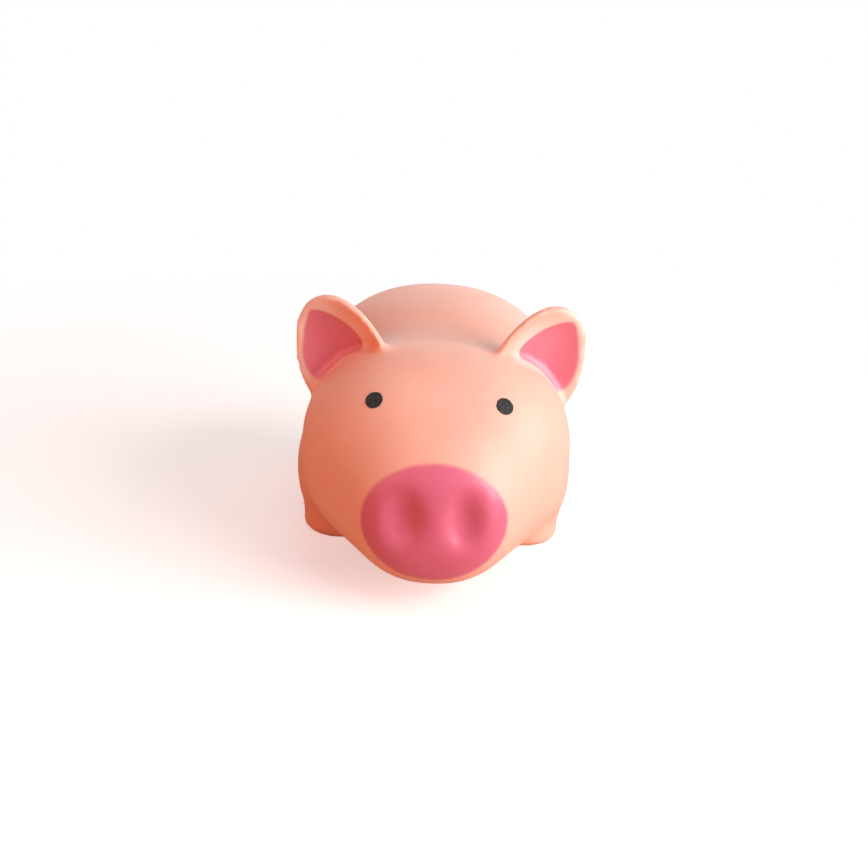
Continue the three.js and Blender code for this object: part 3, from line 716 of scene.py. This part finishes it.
modify(reed, "SOLIDIFY", thickness=REED_THICKNESS, offset=0)
shade(reed)

FILM = colour(222, 217, 202)
FILM_SHADE = colour(206, 199, 180)

reed_film, place, shader = new_finish(
    "reed_film", Transmission_Weight=0.45, IOR=1.57, Specular_IOR_Level=0.5
)
streaks = place.node("ShaderNodeMapping", {}, {"Vector": place, "Scale": (1, 1, 0.06)}).noise(1800, detail=2)
feed(
    shader,
    Base_Color=streaks.blend(FILM, FILM_SHADE),
    Roughness=0.12 + streaks * 0.14,
    Normal=streaks.bump(0.01 * MM, 0.5),
)
dress(reed, "reed", "reed_film", reed_film, "reed_tongue")


# Studio: a pale table that runs out to white, with a broad lamp up on the right, one overhead, a warmer and
# weaker one on the left, and one low behind.
FLOOR_SIZE = 8
WHITE_FROM = 0.12
WHITE_BEYOND = 0.42
FLOOR_BOUNCE = colour(214, 172, 150)
FLOOR_SEEN = colour(240, 238, 237)
FLOOR_GLOW = 0.45
WORLD_LEVEL = 0.1
LAMPS = {
    "key_lamp": {"at": (0.85, -0.45, 0.36), "size": 0.9, "power": 16, "colour": (1, 1, 1)},
    "top_lamp": {"at": (0.1, -0.1, 0.9), "size": 0.8, "power": 1.6, "colour": (1, 1, 1)},
    "fill_lamp": {"at": (-0.7, -0.45, 0.2), "size": 1.0, "power": 5.2, "colour": (1, 0.28, 0.1)},
    "back_lamp": {"at": (0.1, 0.9, 0.3), "size": 0.8, "power": 1.4, "colour": (1, 1, 1)},
}
CAMERA_AZIMUTH = math.radians(-0.81)
CAMERA_ELEVATION = math.radians(19.39)
CAMERA_ROLL = math.radians(3.09)
CAMERA_DISTANCE = 313.03 * MM
CAMERA_TARGET = Vector((-0.74, -32, 40.46)) * MM
SENSOR_WIDTH = 36
LENS = 45.35

studio = bpy.context.scene
bpy.ops.mesh.primitive_plane_add(size=FLOOR_SIZE)
floor = bpy.context.object
floor.name = "floor"
table_top, place, shader = new_finish("table_top", Roughness=0.9, Specular_IOR_Level=0.1)
tree = table_top.node_tree
seen = Wire(tree.nodes.new("ShaderNodeLightPath").outputs["Is Camera Ray"])
feed(shader, Base_Color=seen.blend(FLOOR_BOUNCE, FLOOR_SEEN))
away = place.node("ShaderNodeVectorMath", {"operation": "LENGTH"}, {0: place}, output="Value")
glow = place.node("ShaderNodeEmission", {}, {"Color": (1, 1, 1, 1), "Strength": 1})
shader.inputs["Emission Color"].default_value = (1, 1, 1, 1)
tree.links.new((seen * FLOOR_GLOW).socket, shader.inputs["Emission Strength"])
white = away.rise(WHITE_FROM, WHITE_BEYOND) * seen
top = place.node("ShaderNodeMixShader", {}, {0: white, 1: Wire(shader.outputs[0]), 2: glow})
tree.links.new(top.socket, tree.nodes["Material Output"].inputs["Surface"])
floor.data.materials.append(table_top)

world = bpy.data.worlds.new("studio")
studio.world = world
world.use_nodes = True
tree = world.node_tree
path = tree.nodes.new("ShaderNodeLightPath")
seen = Wire(path.outputs["Is Camera Ray"])
mirrored = Wire(path.outputs["Is Glossy Ray"])
through = Wire(path.outputs["Is Transmission Ray"])
rays = seen + mirrored + through
level = WORLD_LEVEL + rays.math("MINIMUM", rays, 1) * (1 - WORLD_LEVEL)
tree.links.new(level.socket, tree.nodes["Background"].inputs["Strength"])
tree.nodes["Background"].inputs["Color"].default_value = (1, 1, 1, 1)

for name, lamp in LAMPS.items():
    bpy.ops.object.light_add(type="AREA", location=lamp["at"])
    light = bpy.context.object
    light.name = name
    light.data.size = lamp["size"]
    light.data.energy = lamp["power"]
    light.data.color = lamp["colour"]
    light.rotation_mode = "QUATERNION"
    light.rotation_quaternion = (light.location - CAMERA_TARGET).to_track_quat("Z", "Y")

back = Vector((
    math.sin(CAMERA_AZIMUTH) * math.cos(CAMERA_ELEVATION),
    -math.cos(CAMERA_AZIMUTH) * math.cos(CAMERA_ELEVATION),
    math.sin(CAMERA_ELEVATION),
))
right = Vector((0, 0, 1)).cross(back).normalized()
up = back.cross(right)
turn = Matrix.Rotation(CAMERA_ROLL, 3, back)
camera_data = bpy.data.cameras.new("camera")
camera_data.sensor_width = SENSOR_WIDTH
camera_data.lens = LENS
camera = bpy.data.objects.new("camera", camera_data)
studio.collection.objects.link(camera)
axes = Matrix((turn @ right, turn @ up, turn @ back)).transposed()
camera.matrix_world = Matrix.Translation(CAMERA_TARGET + back * CAMERA_DISTANCE) @ axes.to_4x4()
studio.camera = camera

studio.view_settings.view_transform = "Standard"
bpy.context.view_layer.update()
